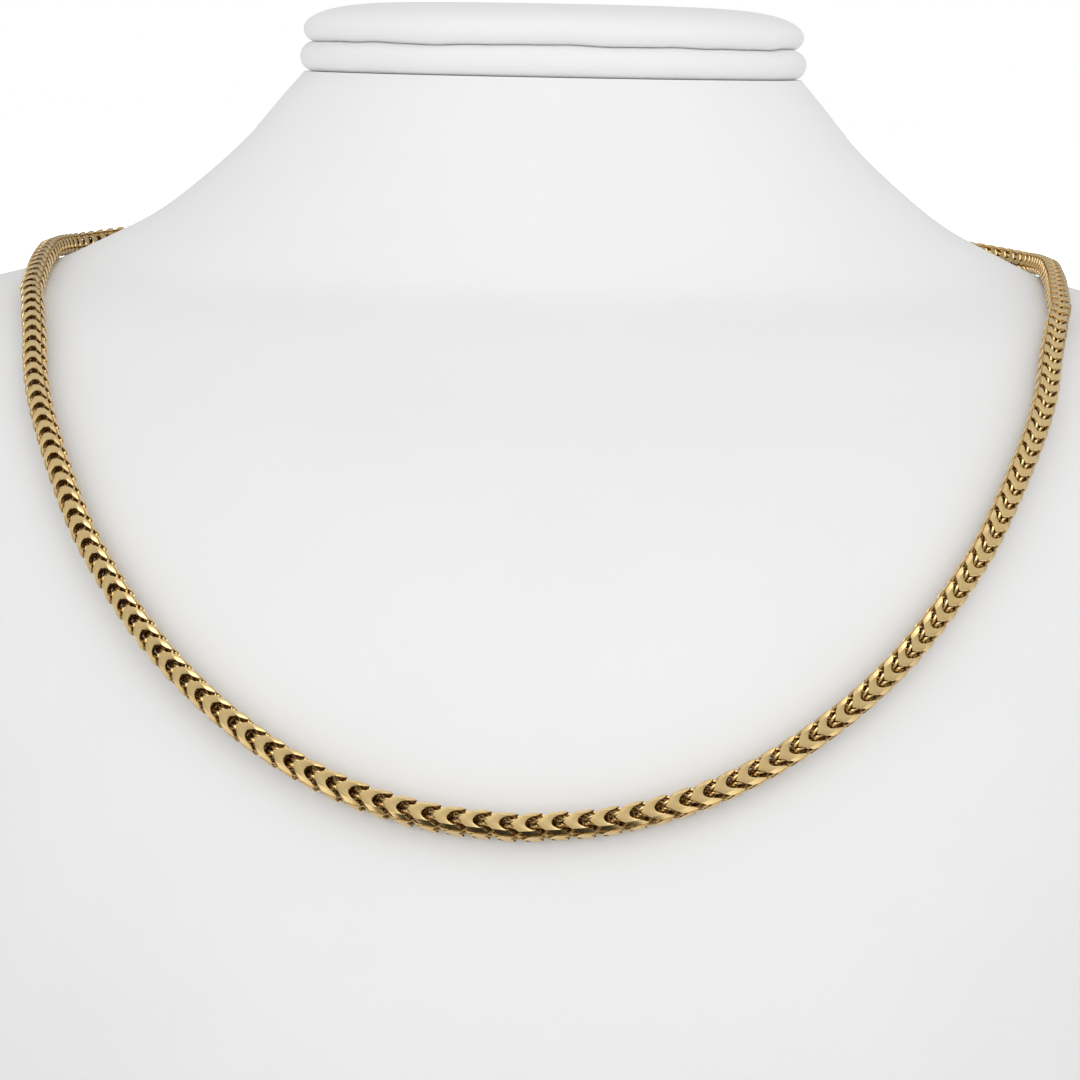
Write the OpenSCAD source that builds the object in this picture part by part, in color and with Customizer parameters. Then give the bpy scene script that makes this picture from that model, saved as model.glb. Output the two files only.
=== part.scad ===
// Franco chain lying on a plain neck bust. Millimetres, +Z up, the chest faces -Y.
// The bust is a stack of oval sections. The chain's route is drawn on the bust's own
// surface, so the chain keeps its seat when the bust changes.

/* [Bust] */
// Height from the base to the top of the neck
bust_h = 154.5; // [140:0.5:180]
// Width across the shoulders
shoulder_w = 230; // [210:1:250]
// Width of the round neck at its top
neck_w = 78; // [70:1:88]
// From the neck's axis to the front of the chest at the base
chest_d = 150; // [135:1:170]
// From the neck's axis to the back at the base
back_d = 83; // [74:1:95]

/* [Neck top] */
// Thickness of the padded welt round the neck's top
welt_t = 4.6; // [3:0.1:6]
// How far the welt stands out past the neck
welt_over = 0.75; // [0.3:0.05:3]
// Thickness of the cap at its middle
cap_t = 6.4; // [4:0.1:9]
// How far the cap stands out past the neck
cap_over = 0.25; // [0:0.05:3]
// Radius of the cap's lower edge
cap_edge = 2; // [1:0.1:2.8]

/* [Chain] */
// Width and depth of the square chain
chain_w = 3.2; // [2.4:0.1:4.4]
// Bevel along each of the chain's four corners
chain_bevel = 0.55; // [0.2:0.05:0.8]
// Clearance between the chain and the bust
seat_gap = 0.25; // [0.15:0.05:0.4]

/* [Clasp] */
// Length of the claw between the two chain ends
claw_l = 12; // [9:0.5:18]
// Height of the claw
claw_h = 5; // [4:0.1:7]
// Thickness of the claw, from the neck outwards
claw_t = 2.6; // [2:0.1:3.2]
// Width of the hole in the claw
claw_hole = 2; // [1.2:0.1:2.6]
// Length of the square cup on each chain end
cup_l = 4; // [3:0.5:6]
// How far each cup reaches over the claw
cup_lap = 1.5; // [1:0.1:2]

/* [Hidden] */

$fn = 96;
neck_y = (chest_d - back_d) / 2;
bust_sides = 64;
rings_per_section = 2;
// Closer rings where the neck spreads into the shoulders, so that the chain clears them
close_rings = 5;
close_from = 0.76;
close_to = 0.9;
chain_rings = 40;
route_steps = 180;
probe_angle = 0.2;
probe_share = 0.002;
end_gap = 0.02;
// Power of the curve by which the cap's padded top falls to its rim
cap_power = 6;

// Sections of the bust, from the top of the neck down to the base. A share of 0 is
// the neck's own size and 1 is the size that the column is named after.
// [height, shoulder width, chest depth, back depth]
SECTIONS = [
    [1.000, 0.000, 0.000, 0.00],
    [0.975, 0.044, 0.006, 0.05],
    [0.935, 0.113, 0.018, 0.17],
    [0.895, 0.200, 0.037, 0.35],
    [0.855, 0.305, 0.062, 0.56],
    [0.825, 0.420, 0.090, 0.80],
    [0.800, 0.535, 0.130, 0.93],
    [0.765, 0.785, 0.240, 0.98],
    [0.725, 0.920, 0.353, 0.99],
    [0.675, 0.980, 0.493, 1.00],
    [0.610, 1.000, 0.636, 1.00],
    [0.530, 1.000, 0.752, 1.00],
    [0.430, 1.000, 0.849, 1.00],
    [0.260, 0.985, 0.944, 1.00],
    [0.000, 0.950, 1.000, 1.00]
];

// Route of the chain on the bust, from the front round to the back.
// [angle from the front, height as a share of the bust's height]
ROUTE = [
    [  0, 0.411],
    [  6, 0.418],
    [ 12, 0.438],
    [ 18, 0.473],
    [ 24, 0.523],
    [ 30, 0.592],
    [ 36, 0.672],
    [ 42, 0.733],
    [ 48, 0.762],
    [ 55, 0.777],
    [ 62, 0.787],
    [ 70, 0.795],
    [ 80, 0.802],
    [ 90, 0.804],
    [105, 0.802],
    [130, 0.814],
    [155, 0.848],
    [168, 0.864],
    [180, 0.868]
];

// Smooth value of column c where a table's first column is x
function row_of(table, x, i = 0) =
    i >= len(table) - 2 || (table[i][0] - x) * (table[i + 1][0] - x) <= 0
        ? i
        : row_of(table, x, i + 1);
function slope_at(table, c, i) =
    let (before = table[max(i - 1, 0)],
         after = table[min(i + 1, len(table) - 1)])
    (after[c] - before[c]) / (after[0] - before[0]);
function smooth(table, c, x) =
    let (i = row_of(table, x),
         span = table[i + 1][0] - table[i][0],
         t = (x - table[i][0]) / span,
         start = slope_at(table, c, i) * span,
         finish = slope_at(table, c, i + 1) * span)
    (2 * t^3 - 3 * t^2 + 1) * table[i][c] + (t^3 - 2 * t^2 + t) * start
        + (3 * t^2 - 2 * t^3) * table[i + 1][c] + (t^3 - t^2) * finish;

// Point of the bust's skin at an angle from the front and a height share
function sized(share, full) = neck_w / 2 + share * (full - neck_w / 2);
function skin(angle, share) =
    let (half = sized(smooth(SECTIONS, 1, share), shoulder_w / 2),
         depth = cos(angle) > 0
            ? sized(smooth(SECTIONS, 2, share), chest_d)
            : sized(smooth(SECTIONS, 3, share), back_d))
    [half * sin(angle), neck_y - depth * cos(angle), bust_h * share];

function unit(v) = v / norm(v);
function skin_normal(angle, share) =
    unit(cross(skin(angle + probe_angle, share) - skin(angle - probe_angle, share),
               skin(angle, share + probe_share) - skin(angle, share - probe_share)));

// Centre line of the chain over the skin, and the outward direction there
function share_at(angle) = smooth(ROUTE, 1, angle < 0 ? -angle : angle > 180 ? 360 - angle : angle);
function outward(angle) = skin_normal(angle, share_at(angle));
function seat(angle) = skin(angle, share_at(angle)) + (chain_w / 2 + seat_gap) * outward(angle);

// Distance along the centre line, from the front, at each angle
route_angles = [for (i = [0 : route_steps]) 180 * i / route_steps];
step_lengths = [for (i = [1 : route_steps]) norm(seat(route_angles[i]) - seat(route_angles[i - 1]))];
distances = [for (i = 0, d = 0; i <= route_steps; d = d + (i < route_steps ? step_lengths[i] : 0), i = i + 1) d];
angle_table = [for (i = [0 : route_steps]) [distances[i], route_angles[i]]];
half_loop = distances[route_steps];
clasp_half = claw_l / 2 + cup_l - cup_lap;
half_chain = half_loop - clasp_half;
end_angle = lookup(half_chain, angle_table);

// Way that the chain runs at an angle. It is level where the chain meets the clasp.
function heading(angle) =
    let (way = seat(angle + probe_angle) - seat(angle - probe_angle))
    unit(angle >= end_angle ? [way[0], way[1], 0] : way);

// Outline of the chain's bevelled square section, as shares of outward and across
chain_half = chain_w / 2;
chain_flat = chain_half - chain_bevel;
chain_outline = [
    [chain_half, -chain_flat],
    [chain_half, chain_flat],
    [chain_flat, chain_half],
    [-chain_flat, chain_half],
    [-chain_half, chain_flat],
    [-chain_half, -chain_flat],
    [-chain_flat, -chain_half],
    [chain_flat, -chain_half]
];
function chain_ring(angle) =
    let (way = heading(angle),
         across = unit(cross(way, outward(angle))),
         out = cross(across, way))
    [for (p = chain_outline) seat(angle) + p[0] * out + p[1] * across];

// Solid through a list of rings, each turning right-handed about the way they advance
module loft(rings) {
    sides = len(rings[0]);
    last = len(rings) - 1;
    walls = [
        for (i = [0 : last - 1], j = [0 : sides - 1])
            let (a = i * sides + j,
                 b = i * sides + (j + 1) % sides,
                 c = b + sides,
                 d = a + sides)
            each [[a, c, b], [a, d, c]]
    ];
    bottom = [for (j = [0 : sides - 1]) j];
    top = [for (j = [sides - 1 : -1 : 0]) last * sides + j];
    polyhedron([for (ring = rings) each ring], concat(walls, [bottom, top]));
}

// Disc with a fully round rim, resting on z = 0
module padded_disc(radius, thickness) {
    rim = thickness / 2;
    rotate_extrude() {
        square([radius - rim, thickness]);
        translate([radius - rim, rim])
            intersection() {
                circle(rim);
                translate([0, -rim])
                    square([rim, thickness]);
            }
    }
}

module bust_body() {
    rows = len(SECTIONS) - 1;
    shares = [
        for (i = [rows : -1 : 1])
            let (low = SECTIONS[i][0],
                 high = SECTIONS[i - 1][0],
                 rings = low > close_from && high < close_to ? close_rings : rings_per_section)
            for (k = [0 : rings - 1])
                low + (high - low) * k / rings
    ];
    color("whitesmoke")
        loft([
            for (share = concat(shares, [SECTIONS[0][0]]))
                [for (j = [0 : bust_sides - 1]) skin(360 * j / bust_sides, share)]
        ]);
}

module neck_welt() {
    color("whitesmoke")
        translate([0, neck_y, bust_h])
            padded_disc(neck_w / 2 + welt_over, welt_t);
}

module neck_cap() {
    radius = neck_w / 2 + cap_over;
    lower = [for (a = [-90 : 15 : 0]) [radius + cap_edge * (cos(a) - 1), cap_edge * (1 + sin(a))]];
    upper = [
        for (a = [7.5 : 7.5 : 82.5])
            [radius * cos(a)^(2 / cap_power), cap_edge + (cap_t - cap_edge) * sin(a)]
    ];
    color("whitesmoke")
        translate([0, neck_y, bust_h + welt_t])
            rotate_extrude()
                polygon(concat([[0, 0]], lower, upper, [[0, cap_t]]));
}

module half_chain_solid() {
    angles = [
        for (i = [0 : chain_rings - 1])
            i == chain_rings - 1 ? end_angle : lookup(half_chain * i / (chain_rings - 1), angle_table)
    ];
    color("goldenrod")
        loft([for (angle = angles) chain_ring(angle)]);
}

module chain_right() {
    half_chain_solid();
}

module chain_left() {
    mirror([1, 0, 0])
        half_chain_solid();
}

// The clasp lies flat on the nape: two square cups and a plain claw between them
module clasp() {
    out = outward(180);
    lean = atan2(out[2], out[1]);
    color("goldenrod") {
        for (side = [0, 1])
            mirror([side, 0, 0])
                clasp_cup();
        translate(seat(180))
            rotate([lean, 0, 0])
                rotate([-90, 0, 0])
                    linear_extrude(claw_t, center = true)
                        claw_outline();
    }
}

// Cup in line with the chain's end
module clasp_cup() {
    way = heading(end_angle);
    across = unit(cross(way, outward(end_angle)));
    out = cross(across, way);
    multmatrix([for (i = [0 : 2]) [way[i], out[i], across[i], seat(end_angle)[i]]])
        translate([end_gap, -chain_w / 2, -chain_w / 2])
            cube([cup_l - end_gap, chain_w, chain_w]);
}

module claw_outline() {
    nose = claw_h / 2;
    tail = chain_w / 2;
    difference() {
        union() {
            translate([nose - claw_l / 2, 0])
                circle(nose);
            polygon([
                [nose - claw_l / 2, nose],
                [claw_l / 2, tail],
                [claw_l / 2, -tail],
                [nose - claw_l / 2, -nose]
            ]);
        }
        translate([nose - claw_l / 2 + cup_lap / 2, 0])
            circle(d = claw_hole);
    }
}

bust_body();
neck_welt();
neck_cap();
chain_left();
chain_right();
clasp();
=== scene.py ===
import math

import bpy
import numpy as np
from bpy.props import FloatProperty, FloatVectorProperty, IntProperty, PointerProperty
from bpy.types import Operator, Panel, PropertyGroup
from mathutils import Euler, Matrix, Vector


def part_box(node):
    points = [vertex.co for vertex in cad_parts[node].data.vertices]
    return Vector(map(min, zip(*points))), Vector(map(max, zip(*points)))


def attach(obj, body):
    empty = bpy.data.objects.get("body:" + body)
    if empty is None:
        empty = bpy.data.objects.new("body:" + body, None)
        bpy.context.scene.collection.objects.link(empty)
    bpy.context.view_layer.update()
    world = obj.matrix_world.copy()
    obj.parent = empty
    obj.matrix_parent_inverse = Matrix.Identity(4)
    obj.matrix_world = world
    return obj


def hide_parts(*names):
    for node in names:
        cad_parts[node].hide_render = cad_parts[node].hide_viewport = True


bl_info = {
    "name": "Franco Chain on a Neck Bust",
    "version": (1, 0, 0),
    "blender": (4, 5, 0),
    "location": "View3D > Sidebar > Franco Chain",
    "description": "Builds a square chain of interlocked chevron links on a padded neck bust",
    "category": "Add Mesh",
}

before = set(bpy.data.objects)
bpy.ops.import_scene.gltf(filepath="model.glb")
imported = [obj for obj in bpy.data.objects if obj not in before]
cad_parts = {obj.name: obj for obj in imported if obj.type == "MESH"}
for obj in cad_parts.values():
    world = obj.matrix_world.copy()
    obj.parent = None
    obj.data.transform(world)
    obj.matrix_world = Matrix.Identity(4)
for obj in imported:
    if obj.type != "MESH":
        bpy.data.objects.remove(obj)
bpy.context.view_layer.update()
WELT_LOW, WELT_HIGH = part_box("neck_welt")
CAP_LOW, CAP_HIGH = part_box("neck_cap")

# Sections of the bust, from the top of the neck down to the base. A share of 0 is the
# neck's own size and 1 is the full size.
# height, shoulder width, chest depth, back depth
SECTIONS = np.array([
    (1.000, 0.000, 0.000, 0.00),
    (0.975, 0.044, 0.006, 0.05),
    (0.935, 0.113, 0.018, 0.17),
    (0.895, 0.200, 0.037, 0.35),
    (0.855, 0.305, 0.062, 0.56),
    (0.825, 0.420, 0.090, 0.80),
    (0.800, 0.535, 0.130, 0.93),
    (0.765, 0.785, 0.240, 0.98),
    (0.725, 0.920, 0.353, 0.99),
    (0.675, 0.980, 0.493, 1.00),
    (0.610, 1.000, 0.636, 1.00),
    (0.530, 1.000, 0.752, 1.00),
    (0.430, 1.000, 0.849, 1.00),
    (0.260, 0.985, 0.944, 1.00),
    (0.000, 0.950, 1.000, 1.00),
])

# Route of the chain on the bust: angle from the front, height share
ROUTE = np.array([
    (0, 0.411), (6, 0.418), (12, 0.438), (18, 0.473), (24, 0.523), (30, 0.592),
    (36, 0.672), (42, 0.733), (48, 0.762), (55, 0.777), (62, 0.787), (70, 0.795),
    (80, 0.802), (90, 0.804), (105, 0.802), (130, 0.814), (155, 0.848), (168, 0.864),
    (180, 0.868),
])

# Steps in angle and in height share over which the skin's slope is taken
PROBE_ANGLE = 0.2
PROBE_SHARE = 0.002
# Points round and up the bust, round the welt and cap, and along the chain's path
BUST_SIDES = 224
BUST_ROWS = 150
RIM_SIDES = 192
PATH_POINTS = 2881

# Angles in degrees past which an edge stays sharp
BUST_CREASE = 40
LINK_CREASE = 33
CLAW_CREASE = 35

# Section of the chain, as shares of its width: half of it, its corner bevel, and the half
# of each face that the bevels leave flat
HALF = 0.5
BEVEL = 0.19
FLAT = HALF - BEVEL
# A plate's thickness, the depth of its low dome and its eased edge, in the same shares
PLATE_THICKNESS = 0.13
PLATE_DOME = 0.02
EDGE = 0.022
# A plate with at least this half length has the full dome
FULL_DOME = 0.25
# Half width of the round wire, and its sides
WIRE = 0.056
WIRE_SIDES = 6
# Depth under the chain's outline at which the gold's painted shade is at its darkest
SHADE_DEPTH = 0.15
# Plan of a chevron plate: distance across from the middle of its face in chain widths,
# leading edge and trailing edge in pitches. The plates in front and behind wrap the bevels,
# and those on the chain's two sides stay between them.
FACE_PLAN = (
    (0.00, 0.000, -0.575), (0.06, -0.058, -0.585), (0.12, -0.120, -0.625),
    (0.19, -0.192, -0.700), (0.25, -0.255, -0.800), (0.31, -0.322, -0.930),
    (0.38, -0.405, -1.060), (0.46, -0.500, -1.180), (0.52, -0.575, -1.260),
)
SIDE_PLAN = (
    (0.00, 0.000, -0.575), (0.06, -0.058, -0.582), (0.11, -0.110, -0.610),
    (0.155, -0.157, -0.645), (0.195, -0.200, -0.680), (0.225, -0.235, -0.700),
    (0.25, -0.265, -0.700),
)
# Centre line of each of the two wires that dive from a plate's point into the core: along
# in pitches, outward and across in chain widths
DIVE = ((-0.20, 0.385, 0.150), (-0.06, 0.385, 0.118), (0.05, 0.367, 0.100),
        (0.17, 0.292, 0.088), (0.29, 0.155, 0.078), (0.345, 0.0, 0.073))
# Centre line of the loop that closes under the next plate, in the same measures
FACE_LOOP = ((-0.62, 0.375, 0.345), (-0.76, 0.352, 0.318), (-0.89, 0.296, 0.256),
             (-1.00, 0.255, 0.168), (-1.045, 0.250, 0.088), (-1.062, 0.250, 0.0))
SIDE_LOOP = ((-0.50, 0.400, 0.165), (-0.64, 0.385, 0.175), (-0.76, 0.340, 0.205),
             (-0.86, 0.285, 0.225), (-0.95, 0.250, 0.200), (-1.03, 0.244, 0.105),
             (-1.062, 0.244, 0.0))
# Distance of the first and last chevron's point from the chain's ends, in pitches
FIRST_PLATE = 1.27
LAST_PLATE = 0.02

# Gap between each cup and its chain end
END_GAP = 0.00002
# Square cup, from its mouth down its wall: share of its length, share of the chain's width
CUP_WALL = ((0.55, 0.90), (0.0, 0.90), (0.0, 0.94), (0.03, 1.0), (0.17, 1.0), (0.20, 0.96),
            (0.80, 0.96), (0.83, 1.0), (0.97, 1.0), (1.0, 0.93))
# Flat part of each cup face, as a share of its half width
CUP_FLAT = 0.86
# Edge of the claw: level from its middle to its faces, inset as a share of its thickness
CLAW_EDGE = ((1, 0.22), (0.9, 0.10), (0.62, 0), (-0.62, 0), (-0.9, 0.10), (-1, 0.22))
# Wall of the claw's hole: level as above, share of the hole's own width
HOLE_WALL = ((1.3, 1.5), (0.8, 1.12), (0, 1.0), (-0.8, 1.12), (-1.3, 1.5))
HOLE_SIDES = 24
# Rounding of the claw's tail corners, as a share of the tail's half width
TAIL_ROUND = 0.3

# What the polished metal mirrors: height of the mirrored way from -1 straight down to 1
# straight up, brightness
MIRRORED = ((-1.0, 0.9), (-0.65, 1.2), (-0.34, 0.8), (-0.05, 0.42), (0.10, 0.33), (0.34, 0.39),
            (0.50, 0.57), (0.78, 0.68), (0.90, 0.9), (0.95, 2.6), (1.0, 3.2))
# Way to the dark place low in front, and the cosines between which its edge fades
DARK_WAY = (-0.03, -0.706, -0.707)
DARK_EDGE = (0.80, 0.86)
DARK_LEVEL = 0.03
# Strength of the soft light from all round
AMBIENT = 0.77
# Soft lights: name, place, width, watts. They all face one point.
LIGHTS = (("key", (0.35, -0.5, 0.9), 0.6, 0.9), ("left", (-0.9, -0.9, 0.45), 0.9, 2.4),
          ("right", (0.9, -0.9, 0.45), 0.9, 2.0))
LIGHT_AIM = (0, 0, 0.1)
# Reach of the floor, its sides, and the distances between which its glow sets in
FLOOR_REACH = 6.0
FLOOR_SIDES = 96
FLOOR_GLOW = (0.5, 1.6)

# Roll of the chain about its own line: route angle from the front, degrees
ROLL = np.array([(0, 5), (7, 4.5), (15, 0), (24, -5), (42, -5), (60, 0), (180, 0)])
# Power of the curve by which the cap's padded top falls to its rim
CAP_POWER = 6
# Blotches and grain of each finish, as noise scales per metre
GOLD_NOISE = (900.0, 5000.0)
COVER_NOISE = (40.0, 2500.0)
# Unevenness of the padded welt and cap: waves round the rim, size, start
PADDING_WAVES = ((5, 0.00008, 1.0), (9, 0.00007, 2.3), (16, 0.00005, 0.4), (29, 0.00003, 5.1))


# Shapes on the bust

def smooth(table, column, x):
    """Smooth value of a table's column where its first column is x."""
    rows = table if table[0, 0] < table[-1, 0] else table[::-1]
    keys, values = rows[:, 0], rows[:, column]
    slopes = np.empty(len(keys))
    slopes[1:-1] = (values[2:] - values[:-2]) / (keys[2:] - keys[:-2])
    slopes[0] = (values[1] - values[0]) / (keys[1] - keys[0])
    slopes[-1] = (values[-1] - values[-2]) / (keys[-1] - keys[-2])
    i = np.clip(np.searchsorted(keys, x, side="right") - 1, 0, len(keys) - 2)
    span = keys[i + 1] - keys[i]
    t = (x - keys[i]) / span
    return ((2 * t**3 - 3 * t**2 + 1) * values[i] + (t**3 - 2 * t**2 + t) * slopes[i] * span
            + (3 * t**2 - 2 * t**3) * values[i + 1] + (t**3 - t**2) * slopes[i + 1] * span)


class BustShape:
    """The bust's skin as a function of the angle from the front and the height share."""

    def __init__(self, settings):
        self.height = settings.height
        self.neck = settings.neck_width / 2
        self.half_width = settings.shoulder_width / 2
        self.chest = settings.chest_depth
        self.back = settings.back_depth
        self.neck_y = (settings.chest_depth - settings.back_depth) / 2

    def skin(self, angle, share):
        angle, share = np.broadcast_arrays(np.radians(angle), share)
        half = self.sized(smooth(SECTIONS, 1, share), self.half_width)
        front = self.sized(smooth(SECTIONS, 2, share), self.chest)
        rear = self.sized(smooth(SECTIONS, 3, share), self.back)
        depth = np.where(np.cos(angle) > 0, front, rear)
        return np.stack([half * np.sin(angle), self.neck_y - depth * np.cos(angle),
                         self.height * share], axis=-1)

    def sized(self, share, full):
        return self.neck + share * (full - self.neck)

    def normal(self, angle, share):
        across = self.skin(angle + PROBE_ANGLE, share) - self.skin(angle - PROBE_ANGLE, share)
        up = self.skin(angle, share + PROBE_SHARE) - self.skin(angle, share - PROBE_SHARE)
        return unit(np.cross(across, up))


def unit(vectors):
    return vectors / np.linalg.norm(vectors, axis=-1, keepdims=True)


class ChainPath:
    """Centre line of the chain with its outward and across ways, by length from the clasp's
    middle. Distances given to its functions are measured from the chain's own start."""

    def __init__(self, shape, lift, clasp_half):
        angle = np.linspace(-180, 180, PATH_POINTS)
        share = smooth(ROUTE, 1, np.abs(angle))
        outward = shape.normal(angle, share)
        points = shape.skin(angle, share) + lift * outward
        # The chain leaves the clasp on the +X side and comes back on the other
        points, outward = points[::-1], outward[::-1]
        steps = np.linalg.norm(np.diff(points, axis=0), axis=1)
        run = np.concatenate([[0], np.cumsum(steps)])
        way = unit(np.gradient(points, run, axis=0))
        outward = unit(outward - way * (outward * way).sum(-1, keepdims=True))
        across = np.cross(way, outward)
        # The way runs towards -X on the front, where across points up
        roll = np.radians(smooth(ROLL, 1, np.abs(angle)))[:, None]
        self.run, self.points, self.way = run, points, way
        self.outward = outward * np.cos(roll) + across * np.sin(roll)
        self.across = across * np.cos(roll) - outward * np.sin(roll)
        self.start = clasp_half
        self.length = run[-1] - 2 * clasp_half

    def at(self, distance, table):
        run = distance + self.start
        return np.stack([np.interp(run, self.run, table[:, c]) for c in range(3)], axis=-1)

    def place(self, along, outward, across):
        """Points in space for lengths along, outward and across the chain."""
        return (self.at(along, self.points) + outward[:, None] * self.at(along, self.outward)
                + across[:, None] * self.at(along, self.across))


# Mesh helpers

def new_object(name, points, faces, material=None, sharp=None):
    mesh = bpy.data.meshes.new(name)
    mesh.from_pydata([tuple(p) for p in points], [], faces)
    mesh.validate()
    mesh.shade_smooth()
    if sharp is not None:
        mesh.set_sharp_from_angle(angle=math.radians(sharp))
    if material is not None:
        mesh.materials.append(material)
    thing = bpy.data.objects.new(name, mesh)
    bpy.context.scene.collection.objects.link(thing)
    return thing


def loft(rings):
    """Points and faces through equal rings of points, with a face at each end."""
    count, sides = len(rings), len(rings[0])
    points = [tuple(p) for ring in rings for p in ring]
    faces = []
    for i in range(count - 1):
        for j in range(sides):
            k, n = (j + 1) % sides, i + 1
            faces.append((i * sides + j, i * sides + k, n * sides + k, n * sides + j))
    faces.append(tuple(range(sides - 1, -1, -1)))
    faces.append(tuple((count - 1) * sides + j for j in range(sides)))
    return points, faces


def turned(profile, sides, centre_y, seam):
    """Padded lathe form of a profile that starts and ends on the axis: list of (radius, height).
    It is uneven all round, and waves up and down most at the height of its seam."""
    angles = np.linspace(0, 2 * math.pi, sides, endpoint=False)
    uneven = sum(size * np.sin(waves * angles + start) for waves, size, start in PADDING_WAVES)
    thick = profile[-1][1] - profile[0][1]
    points = [(0.0, centre_y, profile[0][1])]
    for radius, height in profile[1:-1]:
        share = 1 - abs(height - seam) / thick
        for angle, swell in zip(angles, uneven):
            reach = radius - swell
            points.append((reach * math.sin(angle), centre_y - reach * math.cos(angle),
                           height + swell * share))
    points.append((0.0, centre_y, profile[-1][1]))
    rows, last = len(profile) - 2, len(points) - 1
    faces = [(0, 1 + (j + 1) % sides, 1 + j) for j in range(sides)]
    for i in range(rows - 1):
        for j in range(sides):
            k = (j + 1) % sides
            low, high = 1 + i * sides, 1 + (i + 1) * sides
            faces.append((low + j, low + k, high + k, high + j))
    top = 1 + (rows - 1) * sides
    faces += [(top + j, top + (j + 1) % sides, last) for j in range(sides)]
    return points, faces


def fused(solids, cut=None):
    """One closed mesh, as points and triangles, from closed solids that overlap, less one cut."""
    closed = solids + ([cut] if cut else [])
    things = [new_object("solid_%d" % i, *solid) for i, solid in enumerate(closed)]
    base = things[0]
    for other in things[1:]:
        joined = base.modifiers.new("joined", "BOOLEAN")
        joined.operation = "DIFFERENCE" if cut and other is things[-1] else "UNION"
        joined.solver = "EXACT"
        joined.object = other
    evaluated = base.evaluated_get(bpy.context.evaluated_depsgraph_get())
    mesh = bpy.data.meshes.new_from_object(evaluated)
    mesh.calc_loop_triangles()
    points = np.empty(len(mesh.vertices) * 3)
    mesh.vertices.foreach_get("co", points)
    triangles = np.empty(len(mesh.loop_triangles) * 3, dtype=np.int32)
    mesh.loop_triangles.foreach_get("vertices", triangles)
    for thing in things:
        old = thing.data
        bpy.data.objects.remove(thing)
        bpy.data.meshes.remove(old)
    bpy.data.meshes.remove(mesh)
    return points.reshape(-1, 3), triangles.reshape(-1, 3)


# The link

def outline(across):
    """Point on the bevelled outline at a distance across from the face's middle, and the way in."""
    reach, side = abs(across), math.copysign(1, across)
    corner = math.tan(math.radians(22.5))
    diagonal = math.sqrt(0.5)
    if reach < FLAT - 1e-6:
        return HALF, side * reach, -1.0, 0.0
    if reach < FLAT + 1e-6:
        return HALF, side * FLAT, -1.0, -side * corner
    drop = min((reach - FLAT) * diagonal, BEVEL)
    return HALF - drop, side * (FLAT + drop), -diagonal, -side * diagonal


def plate_section(lead, trail):
    """Section along a plate as (along, depth), with a low dome on its face and eased edges."""
    middle, half = (lead + trail) / 2, (lead - trail) / 2
    dome = PLATE_DOME * min(1, half / FULL_DOME) ** 2

    def face(share):
        return middle + share * half, dome * share ** 2

    def corner(share):
        return middle + share * half, dome * share ** 2 + EDGE

    eased = 1 - EDGE / half
    return (face(eased), corner(1), (lead - EDGE, PLATE_THICKNESS), (trail + EDGE, PLATE_THICKNESS),
            corner(-1), face(-eased), face(-1 / 3), face(1 / 3))


def chevron_plate(plan):
    rings = []
    for across, lead, trail in [(-w, a, b) for w, a, b in plan[:0:-1]] + list(plan):
        u, v, in_u, in_v = outline(across)
        rings.append([(s, u + in_u * d, v + in_v * d) for s, d in plate_section(lead, trail)])
    return loft(rings)


def wire(path, width_way):
    """Round wire along a path. width_way is a steady direction across it."""
    path = np.array(path, dtype=float)
    way = unit(np.gradient(path, axis=0))
    wide = np.array(width_way, dtype=float)
    wide = unit(wide - way * (way @ wide)[:, None])
    high = np.cross(way, wide)
    turns = [2 * math.pi * (j + 0.5) / WIRE_SIDES for j in range(WIRE_SIDES)]
    size = WIRE / math.cos(math.pi / WIRE_SIDES)
    return loft([[p + size * (math.cos(t) * w + math.sin(t) * h) for t in turns]
                 for p, w, h in zip(path, wide, high)])


def link_solid(plan, closing):
    """Points and triangles of one link: along in pitches, outward and across in widths."""
    def to_back(solid):
        return [(s, -u, -v) for s, u, v in solid[0]], solid[1]

    plate = chevron_plate(plan)
    rails = []
    for side in (1, -1):
        half = [(s, u, side * v) for s, u, v in DIVE]
        rails.append(wire(half + [(s, -u, v) for s, u, v in half[-2::-1]], (0, 0, 1)))
    loop = wire(list(closing) + [(s, u, -v) for s, u, v in closing[-2::-1]], (0, 1, 0))
    return fused([plate, to_back(plate), *rails, loop, to_back(loop)])


def recess(link):
    """How deep each point of a link lies inside the chain's outline, from 0 to 1, which sets how
    dark its painted shade is.
    """
    u, v = np.abs(link[:, 1]), np.abs(link[:, 2])
    depth = np.minimum(np.minimum(HALF - u, HALF - v), (2 * HALF - BEVEL - u - v) * math.sqrt(0.5))
    return np.clip(depth / SHADE_DEPTH, 0, 1)


# Materials

def node_tree(material):
    material.use_nodes = True
    tree = material.node_tree
    tree.nodes.clear()
    output = tree.nodes.new("ShaderNodeOutputMaterial")
    shader = tree.nodes.new("ShaderNodeBsdfPrincipled")
    tree.links.new(shader.outputs["BSDF"], output.inputs["Surface"])
    return tree, shader


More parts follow.
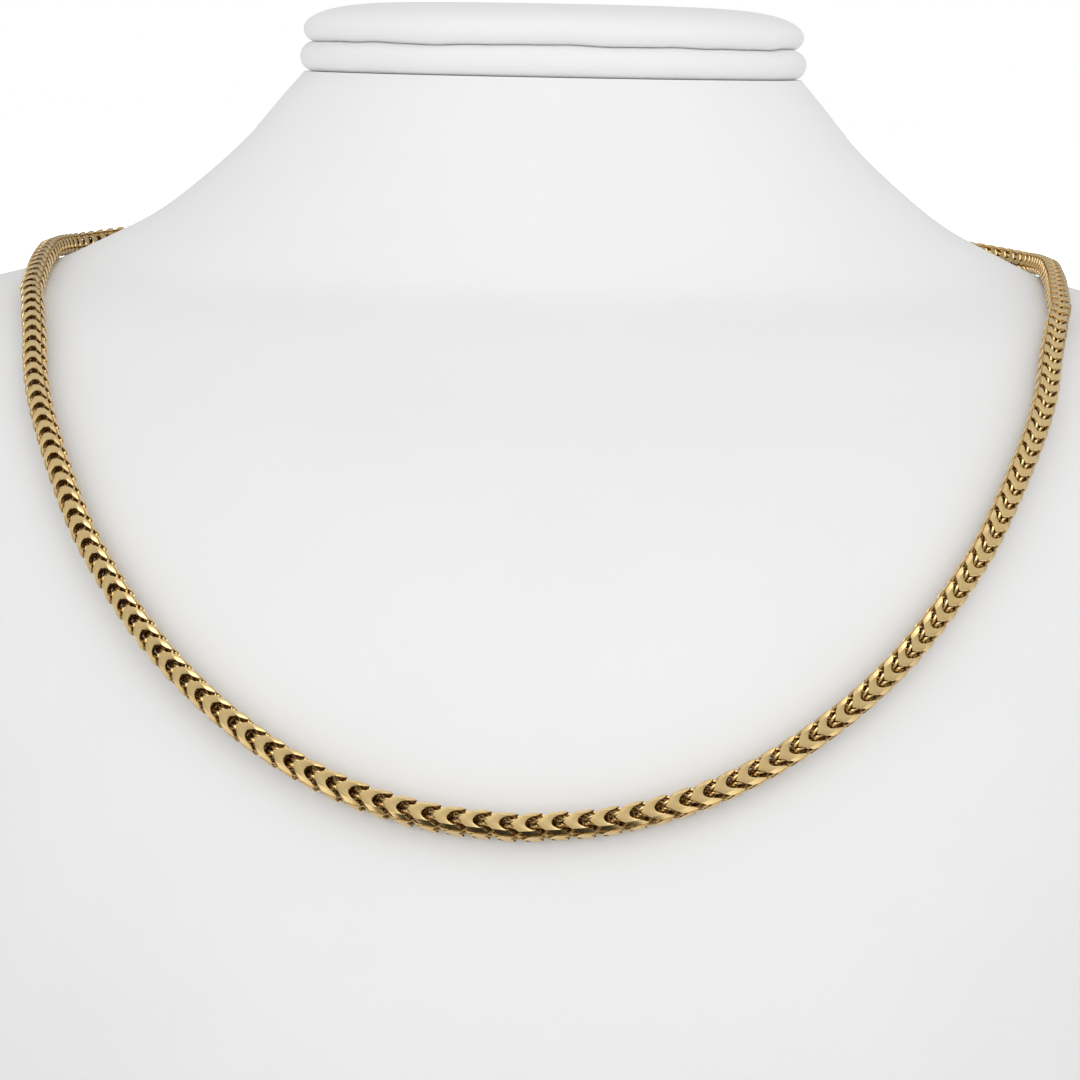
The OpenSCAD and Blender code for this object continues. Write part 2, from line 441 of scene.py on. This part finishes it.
def mottle_group():
    """Node group that both finishes use: soft blotches and fine grain in object space."""
    name = "Fine mottle"
    if name in bpy.data.node_groups:
        return bpy.data.node_groups[name]
    group = bpy.data.node_groups.new(name, "ShaderNodeTree")
    for label, default in (("Blotch Scale", 60.0), ("Grain Scale", 1500.0),
                           ("Low", 0.0), ("High", 1.0)):
        socket = group.interface.new_socket(label, in_out="INPUT", socket_type="NodeSocketFloat")
        socket.default_value = default
    group.interface.new_socket("Value", in_out="OUTPUT", socket_type="NodeSocketFloat")
    group.interface.new_socket("Grain", in_out="OUTPUT", socket_type="NodeSocketFloat")
    nodes, links = group.nodes, group.links
    inlet = nodes.new("NodeGroupInput")
    outlet = nodes.new("NodeGroupOutput")
    where = nodes.new("ShaderNodeTexCoord")
    blotch = nodes.new("ShaderNodeTexNoise")
    blotch.inputs["Detail"].default_value = 3.0
    grain = nodes.new("ShaderNodeTexNoise")
    grain.inputs["Detail"].default_value = 4.0
    grain.inputs["Roughness"].default_value = 0.6
    span = nodes.new("ShaderNodeMapRange")
    span.inputs["From Min"].default_value = 0.3
    span.inputs["From Max"].default_value = 0.7
    for texture, scale in ((blotch, "Blotch Scale"), (grain, "Grain Scale")):
        links.new(where.outputs["Object"], texture.inputs["Vector"])
        links.new(inlet.outputs[scale], texture.inputs["Scale"])
    links.new(blotch.outputs["Fac"], span.inputs["Value"])
    links.new(inlet.outputs["Low"], span.inputs["To Min"])
    links.new(inlet.outputs["High"], span.inputs["To Max"])
    links.new(span.outputs["Result"], outlet.inputs["Value"])
    links.new(grain.outputs["Fac"], outlet.inputs["Grain"])
    return group


def add_mottle(tree, blotch_scale, grain_scale, low, high):
    node = tree.nodes.new("ShaderNodeGroup")
    node.node_tree = mottle_group()
    for label, value in (("Blotch Scale", blotch_scale), ("Grain Scale", grain_scale),
                         ("Low", low), ("High", high)):
        node.inputs[label].default_value = value
    return node


def gold_material(settings):
    material = bpy.data.materials.new("polished gold")
    tree, shader = node_tree(material)
    shader.inputs["Metallic"].default_value = 1.0
    mottle = add_mottle(tree, *GOLD_NOISE, settings.roughness * 0.75, settings.roughness * 1.3)
    tree.links.new(mottle.outputs["Value"], shader.inputs["Roughness"])
    # Painted shade: the gold's colour darkens towards the shade colour the deeper a point lies
    # between the links
    depth = tree.nodes.new("ShaderNodeAttribute")
    depth.attribute_name = "recess"
    tone = tree.nodes.new("ShaderNodeValToRGB")
    tone.color_ramp.elements[0].position = 0.05
    tone.color_ramp.elements[0].color = (*settings.gold, 1)
    tone.color_ramp.elements[1].position = 1.0
    tone.color_ramp.elements[1].color = (*settings.painted_shade, 1)
    tree.links.new(depth.outputs["Fac"], tone.inputs["Fac"])
    tree.links.new(tone.outputs["Color"], shader.inputs["Base Color"])
    bump = tree.nodes.new("ShaderNodeBump")
    bump.inputs["Strength"].default_value = 0.25
    bump.inputs["Distance"].default_value = 0.00002
    tree.links.new(mottle.outputs["Grain"], bump.inputs["Height"])
    tree.links.new(bump.outputs["Normal"], shader.inputs["Normal"])
    return material


def cover_material(settings):
    material = bpy.data.materials.new("white leatherette")
    tree, shader = node_tree(material)
    mottle = add_mottle(tree, *COVER_NOISE, 0.0, 1.0)
    tone = tree.nodes.new("ShaderNodeValToRGB")
    tone.color_ramp.elements[0].color = (*(c * 0.985 for c in settings.cover), 1)
    tone.color_ramp.elements[1].color = (*settings.cover, 1)
    tree.links.new(mottle.outputs["Value"], tone.inputs["Fac"])
    tree.links.new(tone.outputs["Color"], shader.inputs["Base Color"])
    shader.inputs["Roughness"].default_value = 0.55
    shader.inputs["Specular IOR Level"].default_value = 0.3
    bump = tree.nodes.new("ShaderNodeBump")
    bump.inputs["Strength"].default_value = 0.15
    bump.inputs["Distance"].default_value = 0.0001
    tree.links.new(mottle.outputs["Grain"], bump.inputs["Height"])
    tree.links.new(bump.outputs["Normal"], shader.inputs["Normal"])
    return material


def kept_material(name, make, settings):
    return bpy.data.materials.get(name) or make(settings)


# Settings

class FrancoBustSettings(PropertyGroup):
    height: FloatProperty(name="Height", description="From the base to the top of the neck",
                          default=0.1545, min=0.14, max=0.18, unit="LENGTH")
    shoulder_width: FloatProperty(name="Shoulders", description="Width across the shoulders",
                                  default=0.23, min=0.21, max=0.25, unit="LENGTH")
    neck_width: FloatProperty(name="Neck", description="Width of the round neck at its top",
                              default=0.078, min=0.07, max=0.088, unit="LENGTH")
    chest_depth: FloatProperty(name="Chest",
                               description="From the neck's axis to the chest at the base",
                               default=0.15, min=0.135, max=0.17, unit="LENGTH")
    back_depth: FloatProperty(name="Back",
                              description="From the neck's axis to the back at the base",
                              default=0.083, min=0.074, max=0.095, unit="LENGTH")
    cap_edge: FloatProperty(name="Cap edge", description="Radius of the cap's lower edge",
                            default=0.002, min=0.001, max=0.0028, unit="LENGTH")
    cover: FloatVectorProperty(name="Cover", description="Colour of the leatherette cover",
                               subtype="COLOR", size=3, min=0, max=1, default=(0.83, 0.83, 0.83))


class FrancoChainSettings(PropertyGroup):
    width: FloatProperty(name="Width", description="Width and depth of the square chain",
                         default=0.0032, min=0.0024, max=0.0044, unit="LENGTH")
    seat_gap: FloatProperty(name="Seat gap", description="Clearance between the chain and the bust",
                            default=0.00025, min=0.00015, max=0.0004, unit="LENGTH")
    pitches: IntProperty(name="Pitches", description="Chevrons along each face of the whole chain",
                         default=185, min=150, max=240)
    gold: FloatVectorProperty(name="Gold", description="Colour of the polished gold",
                              subtype="COLOR", size=3, min=0, max=1, default=(0.87, 0.64, 0.30))
    # Colour of the painted shade that darkens the gold deep between the links
    painted_shade: FloatVectorProperty(name="Painted shade",
                                 description="Colour of the gold deep between the links",
                                 subtype="COLOR", size=3, min=0, max=1, default=(0.42, 0.26, 0.09))
    roughness: FloatProperty(name="Roughness", description="Roughness of the polished gold",
                             default=0.22, min=0.02, max=0.6)


class FrancoClaspSettings(PropertyGroup):
    claw_length: FloatProperty(name="Claw length", description="Length of the claw",
                               default=0.012, min=0.009, max=0.018, unit="LENGTH")
    claw_height: FloatProperty(name="Claw height", description="Height of the claw",
                               default=0.005, min=0.004, max=0.007, unit="LENGTH")
    claw_thickness: FloatProperty(name="Claw thickness",
                                  description="Thickness from the neck outwards",
                                  default=0.0026, min=0.002, max=0.0032, unit="LENGTH")
    claw_hole: FloatProperty(name="Claw hole", description="Width of the hole in the claw",
                             default=0.002, min=0.0012, max=0.0026, unit="LENGTH")
    cup_length: FloatProperty(name="Cup length", description="Length of the cup on each chain end",
                              default=0.004, min=0.003, max=0.006, unit="LENGTH")
    cup_lap: FloatProperty(name="Cup lap", description="How far each cup reaches over the claw",
                           default=0.0015, min=0.001, max=0.002, unit="LENGTH")


class FrancoStageSettings(PropertyGroup):
    camera: FloatVectorProperty(name="Camera place", description="Place of the camera",
                                subtype="XYZ", size=3, default=(0.00899, -0.52182, 0.15932))
    camera_tilt: FloatProperty(name="Camera tilt", description="How far the camera looks down",
                               default=math.radians(8.06), min=0, max=1.5, subtype="ANGLE")
    camera_turn: FloatProperty(name="Camera turn",
                               description="How far the camera looks to the left",
                               default=math.radians(0.99), min=-1, max=1, subtype="ANGLE")
    camera_roll: FloatProperty(name="Camera roll", description="How far the camera is rolled",
                               default=math.radians(1.1), min=-0.2, max=0.2, subtype="ANGLE")
    lens: FloatProperty(name="Lens",
                        description="Focal length on a 36 mm wide sensor, in millimetres",
                        default=116.67, min=20, max=300)
    floor: FloatVectorProperty(name="Floor", description="Colour of the pale floor",
                               subtype="COLOR", size=3, min=0, max=1, default=(0.9, 0.9, 0.9))


# Operators

def bust_shape():
    return BustShape(bpy.context.scene.franco_bust)


def clasp_half():
    clasp = bpy.context.scene.franco_clasp
    return clasp.claw_length / 2 + clasp.cup_length - clasp.cup_lap


def chain_path():
    chain = bpy.context.scene.franco_chain
    return ChainPath(bust_shape(), chain.width / 2 + chain.seat_gap, clasp_half())


def arc(centre_r, centre_z, radius, start, end, steps):
    """Profile points on an arc, with angles in degrees from straight out."""
    angles = np.radians(np.linspace(start, end, steps))
    return [(centre_r + radius * math.cos(a), centre_z + radius * math.sin(a)) for a in angles]


class FRANCO_OT_bust_body(Operator):
    """Builds the padded bust below the neck's top"""

    bl_idname = "franco.bust_body"
    bl_label = "Bust body"

    def execute(self, context):
        settings = context.scene.franco_bust
        shape = bust_shape()
        angles = np.linspace(0, 360, BUST_SIDES, endpoint=False)
        rings = [shape.skin(angles, share) for share in np.linspace(0, 1, BUST_ROWS)]
        material = kept_material("white leatherette", cover_material, settings)
        piece = new_object("bust_body_cover", *loft(rings), material, BUST_CREASE)
        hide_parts("bust_body")
        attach(piece, "root")
        return {"FINISHED"}


class FRANCO_OT_neck_top(Operator):
    """Builds the rounded welt and the padded cap on the neck"""

    bl_idname = "franco.neck_top"
    bl_label = "Neck top"

    def execute(self, context):
        settings = context.scene.franco_bust
        material = kept_material("white leatherette", cover_material, settings)
        centre = (WELT_LOW.y + WELT_HIGH.y) / 2
        radius, rim = (WELT_HIGH.x - WELT_LOW.x) / 2, (WELT_HIGH.z - WELT_LOW.z) / 2
        welt = arc(radius - rim, WELT_LOW.z + rim, rim, -90, 90, 21)
        radius, edge = (CAP_HIGH.x - CAP_LOW.x) / 2, settings.cap_edge
        cap = arc(radius - edge, CAP_LOW.z + edge, edge, -90, 0, 9)
        cap += [(radius * math.cos(t) ** (2 / CAP_POWER),
                 CAP_LOW.z + edge + (CAP_HIGH.z - CAP_LOW.z - edge) * math.sin(t))
                for t in np.radians(np.arange(4, 89, 4))]
        for node, low, high, rim in (("neck_welt", WELT_LOW, WELT_HIGH, welt),
                                     ("neck_cap", CAP_LOW, CAP_HIGH, cap)):
            profile = [(0, low.z), (rim[0][0] * 0.6, low.z), *rim,
                       (rim[-1][0] * 0.5, high.z), (0, high.z)]
            form = turned(profile, RIM_SIDES, centre, WELT_HIGH.z)
            piece = new_object(node + "_cover", *form, material)
            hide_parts(node)
            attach(piece, "root")
        return {"FINISHED"}


class FRANCO_OT_chain(Operator):
    """Lays the interlocked links along the bust"""

    bl_idname = "franco.chain"
    bl_label = "Chain"

    def execute(self, context):
        settings = context.scene.franco_chain
        path = chain_path()
        # The first plates start at one cup, and the last link's wires run into the other
        pitch = path.length / (settings.pitches + FIRST_PLATE + LAST_PLATE - 0.5)
        material = kept_material("polished gold", gold_material, settings)
        for quarter, kind, plan, closing in ((0, "face", FACE_PLAN, FACE_LOOP),
                                             (1, "side", SIDE_PLAN, SIDE_LOOP)):
            link, triangles = link_solid(plan, closing)
            # Painted shade: each point's depth between the links, stored as the recess attribute
            # that darkens the gold
            deep = recess(link)
            steps = np.arange(quarter, settings.pitches * 2, 2) * 0.5 + FIRST_PLATE
            for side in ("right", "left"):
                here = steps[(steps < settings.pitches / 2) == (side == "right")]
                points = []
                for step in here:
                    u, v = link[:, 1] * settings.width, link[:, 2] * settings.width
                    if quarter:
                        u, v = -v, u
                    points.append(path.place((step + link[:, 0]) * pitch, u, v))
                faces = np.concatenate([triangles + i * len(link) for i in range(len(here))])
                piece = new_object("chain_%s_%s_links" % (side, kind), np.concatenate(points),
                                   faces.tolist(), material, LINK_CREASE)
                attribute = piece.data.attributes.new("recess", "FLOAT", "POINT")
                attribute.data.foreach_set("value", np.tile(deep, len(here)).astype(np.float32))
                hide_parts("chain_" + side)
                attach(piece, "root")
        return {"FINISHED"}


def claw_outline(length, height, tail, inset):
    """Teardrop of the claw, drawn in by an inset: (along, across) from its nose to its tail."""
    nose = height / 2
    turns = np.linspace(math.pi / 2, 3 * math.pi / 2, 25)
    points = [(nose - length / 2 + (nose - inset) * math.cos(t), (nose - inset) * math.sin(t))
              for t in turns]
    end, half, round_off = length / 2 - inset, tail - inset, TAIL_ROUND * tail
    for side, start in ((-1, -90), (1, 0)):
        for t in np.radians(np.linspace(start, start + 90, 5)):
            points.append((end - round_off + round_off * math.cos(t),
                           side * (half - round_off) + round_off * math.sin(t)))
    return points


class FRANCO_OT_clasp(Operator):
    """Builds the claw with its hole and the two square cups on the chain's ends"""

    bl_idname = "franco.clasp"
    bl_label = "Clasp"

    def execute(self, context):
        settings = context.scene.franco_clasp
        chain = context.scene.franco_chain
        path = chain_path()
        centre, way, outward, across = path.points[0], path.way[0], path.outward[0], path.across[0]

        def from_centre(along, out, side):
            return centre + along * way + out * outward + side * across

        half = settings.claw_thickness / 2
        rings = []
        for level, inset in CLAW_EDGE:
            plan = claw_outline(settings.claw_length, settings.claw_height, chain.width / 2,
                                inset * settings.claw_thickness)
            rings.append([from_centre(s, level * half, v) for s, v in plan])
        hole = settings.claw_hole / 2
        middle = (settings.claw_height - settings.claw_length + settings.cup_lap) / 2
        turns = np.linspace(0, 2 * math.pi, HOLE_SIDES, endpoint=False)
        cut = [[from_centre(middle + hole * wide * math.cos(t), level * half,
                            hole * wide * math.sin(t)) for t in turns]
               for level, wide in HOLE_WALL]
        solids = [loft(rings)]
        long = settings.cup_length
        for start, wall in ((-long, [(1 - share, wide) for share, wide in CUP_WALL[::-1]]),
                            (path.length + END_GAP, CUP_WALL)):
            solids.append(loft(self.cup(path, start, long - END_GAP, chain.width, wall)))
        points, triangles = fused(solids, loft(cut))
        material = kept_material("polished gold", gold_material, chain)
        piece = new_object("clasp_claw", points, triangles.tolist(), material, CLAW_CREASE)
        # The clasp gets no painted shade: its recess stays 0
        piece.data.attributes.new("recess", "FLOAT", "POINT")
        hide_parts("clasp")
        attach(piece, "root")
        return {"FINISHED"}

    def cup(self, path, start, length, width, wall):
        """Rings of a square cup with a raised band at both ends."""
        rings = []
        for share, size in wall:
            half = width / 2 * size
            flat = half * CUP_FLAT
            section = ((half, -flat), (half, flat), (flat, half), (-flat, half),
                       (-half, flat), (-half, -flat), (-flat, -half), (flat, -half))
            outward, across = np.array(section).T
            rings.append(path.place(np.full(8, start + length * share), outward, across))
        return rings


class FRANCO_OT_stage(Operator):
    """Sets the pale floor, the soft light and the camera"""

    bl_idname = "franco.stage"
    bl_label = "Stage"

    def execute(self, context):
        settings = context.scene.franco_stage
        scene = context.scene
        self.add_floor(settings)
        self.add_world()
        self.add_lights()
        self.add_camera(settings)
        scene.view_settings.view_transform = "Standard"
        return {"FINISHED"}

    def add_floor(self, settings):
        turns = [2 * math.pi * j / FLOOR_SIDES for j in range(FLOOR_SIDES)]
        material = bpy.data.materials.new("pale floor")
        tree, shader = node_tree(material)
        shader.inputs["Base Color"].default_value = (*settings.floor, 1)
        shader.inputs["Roughness"].default_value = 0.8
        shader.inputs["Emission Strength"].default_value = 1.0
        where = tree.nodes.new("ShaderNodeTexCoord")
        away = tree.nodes.new("ShaderNodeVectorMath")
        away.operation = "LENGTH"
        glow = tree.nodes.new("ShaderNodeMapRange")
        glow.inputs["From Min"].default_value = FLOOR_GLOW[0]
        glow.inputs["From Max"].default_value = FLOOR_GLOW[1]
        tree.links.new(where.outputs["Object"], away.inputs[0])
        tree.links.new(away.outputs["Value"], glow.inputs["Value"])
        tree.links.new(glow.outputs["Result"], shader.inputs["Emission Color"])
        rim = [(FLOOR_REACH * math.cos(t), FLOOR_REACH * math.sin(t), 0) for t in turns]
        floor = new_object("floor", rim, [tuple(range(FLOOR_SIDES))], material)
        floor.visible_glossy = False

    def add_world(self):
        """White soft studio. What the metal mirrors goes by height, with a dark place low in
        front."""
        world = bpy.data.worlds.new("soft studio")
        bpy.context.scene.world = world
        world.use_nodes = True
        tree = world.node_tree
        tree.nodes.clear()
        nodes, link = tree.nodes, tree.links.new
        output = nodes.new("ShaderNodeOutputWorld")
        where = nodes.new("ShaderNodeTexCoord")
        split = nodes.new("ShaderNodeSeparateXYZ")
        rise = nodes.new("ShaderNodeMapRange")
        rise.inputs["From Min"].default_value = -1.0
        ramp = nodes.new("ShaderNodeValToRGB")
        marks = ramp.color_ramp.elements
        while len(marks) < len(MIRRORED):
            marks.new(0.5)
        for mark, (height, level) in zip(marks, MIRRORED):
            mark.position = (height + 1) / 2
            mark.color = (level, level, level, 1)
        facing = nodes.new("ShaderNodeVectorMath")
        facing.operation = "DOT_PRODUCT"
        facing.inputs[1].default_value = DARK_WAY
        shade = nodes.new("ShaderNodeMapRange")
        shade.inputs["From Min"].default_value = DARK_EDGE[0]
        shade.inputs["From Max"].default_value = DARK_EDGE[1]
        shade.inputs["To Min"].default_value = 1.0
        shade.inputs["To Max"].default_value = DARK_LEVEL
        dimmed = nodes.new("ShaderNodeVectorMath")
        dimmed.operation = "SCALE"
        mirrored = nodes.new("ShaderNodeBackground")
        mirrored.inputs["Strength"].default_value = 1.0
        plain = nodes.new("ShaderNodeBackground")
        plain.inputs["Color"].default_value = (1, 1, 1, 1)
        seen = nodes.new("ShaderNodeLightPath")
        backdrop = nodes.new("ShaderNodeMapRange")
        backdrop.inputs["To Min"].default_value = AMBIENT
        mix = nodes.new("ShaderNodeMixShader")
        link(where.outputs["Generated"], split.inputs["Vector"])
        link(split.outputs["Z"], rise.inputs["Value"])
        link(rise.outputs["Result"], ramp.inputs["Fac"])
        link(where.outputs["Generated"], facing.inputs[0])
        link(facing.outputs["Value"], shade.inputs["Value"])
        link(ramp.outputs["Color"], dimmed.inputs["Vector"])
        link(shade.outputs["Result"], dimmed.inputs["Scale"])
        link(dimmed.outputs["Vector"], mirrored.inputs["Color"])
        link(seen.outputs["Is Camera Ray"], backdrop.inputs["Value"])
        link(backdrop.outputs["Result"], plain.inputs["Strength"])
        link(seen.outputs["Is Glossy Ray"], mix.inputs["Fac"])
        link(plain.outputs["Background"], mix.inputs[1])
        link(mirrored.outputs["Background"], mix.inputs[2])
        link(mix.outputs["Shader"], output.inputs["Surface"])

    def add_lights(self):
        for name, place, size, power in LIGHTS:
            light = bpy.data.lights.new(name, "AREA")
            light.size = size
            light.energy = power
            lamp = bpy.data.objects.new(name, light)
            bpy.context.scene.collection.objects.link(lamp)
            lamp.location = place
            lamp.visible_glossy = False
            way = np.array(LIGHT_AIM) - np.array(place)
            lamp.rotation_euler = (math.atan2(math.hypot(way[0], way[1]), -way[2]), 0,
                                   math.atan2(-way[0], way[1]))

    def add_camera(self, settings):
        camera = bpy.data.cameras.new("camera")
        camera.sensor_width = 36
        camera.lens = settings.lens
        camera.clip_start = 0.01
        camera.dof.use_dof = False
        holder = bpy.data.objects.new("camera", camera)
        bpy.context.scene.collection.objects.link(holder)
        holder.location = settings.camera
        aim = Euler((math.radians(90) - settings.camera_tilt, 0, settings.camera_turn)).to_matrix()
        roll = Euler((0, 0, settings.camera_roll)).to_matrix()
        holder.rotation_euler = (aim @ roll).to_euler()
        bpy.context.scene.camera = holder


class FRANCO_PT_panel(Panel):
    """Lists the steps that build the chain and its bust"""

    bl_idname = "FRANCO_PT_panel"
    bl_label = "Franco Chain"
    bl_space_type = "VIEW_3D"
    bl_region_type = "UI"
    bl_category = "Franco Chain"

    def draw(self, context):
        layout = self.layout
        for settings, steps in (("franco_bust", ("bust_body", "neck_top")),
                                ("franco_chain", ("chain",)), ("franco_clasp", ("clasp",)),
                                ("franco_stage", ("stage",))):
            group = getattr(context.scene, settings)
            box = layout.box()
            for name in group.__annotations__:
                box.prop(group, name)
            for step in steps:
                box.operator("franco." + step)


GROUPS = (("franco_bust", FrancoBustSettings), ("franco_chain", FrancoChainSettings),
          ("franco_clasp", FrancoClaspSettings), ("franco_stage", FrancoStageSettings))
CLASSES = (FrancoBustSettings, FrancoChainSettings, FrancoClaspSettings, FrancoStageSettings,
           FRANCO_OT_bust_body, FRANCO_OT_neck_top, FRANCO_OT_chain, FRANCO_OT_clasp,
           FRANCO_OT_stage, FRANCO_PT_panel)


def register():
    for kind in CLASSES:
        bpy.utils.register_class(kind)
    for name, kind in GROUPS:
        setattr(bpy.types.Scene, name, PointerProperty(type=kind))


def unregister():
    for name, _ in GROUPS:
        delattr(bpy.types.Scene, name)
    for kind in reversed(CLASSES):
        bpy.utils.unregister_class(kind)


def main():
    register()
    bpy.ops.franco.stage()
    bpy.ops.franco.bust_body()
    bpy.ops.franco.neck_top()
    bpy.ops.franco.chain()
    bpy.ops.franco.clasp()


if __name__ == "__main__":
    main()
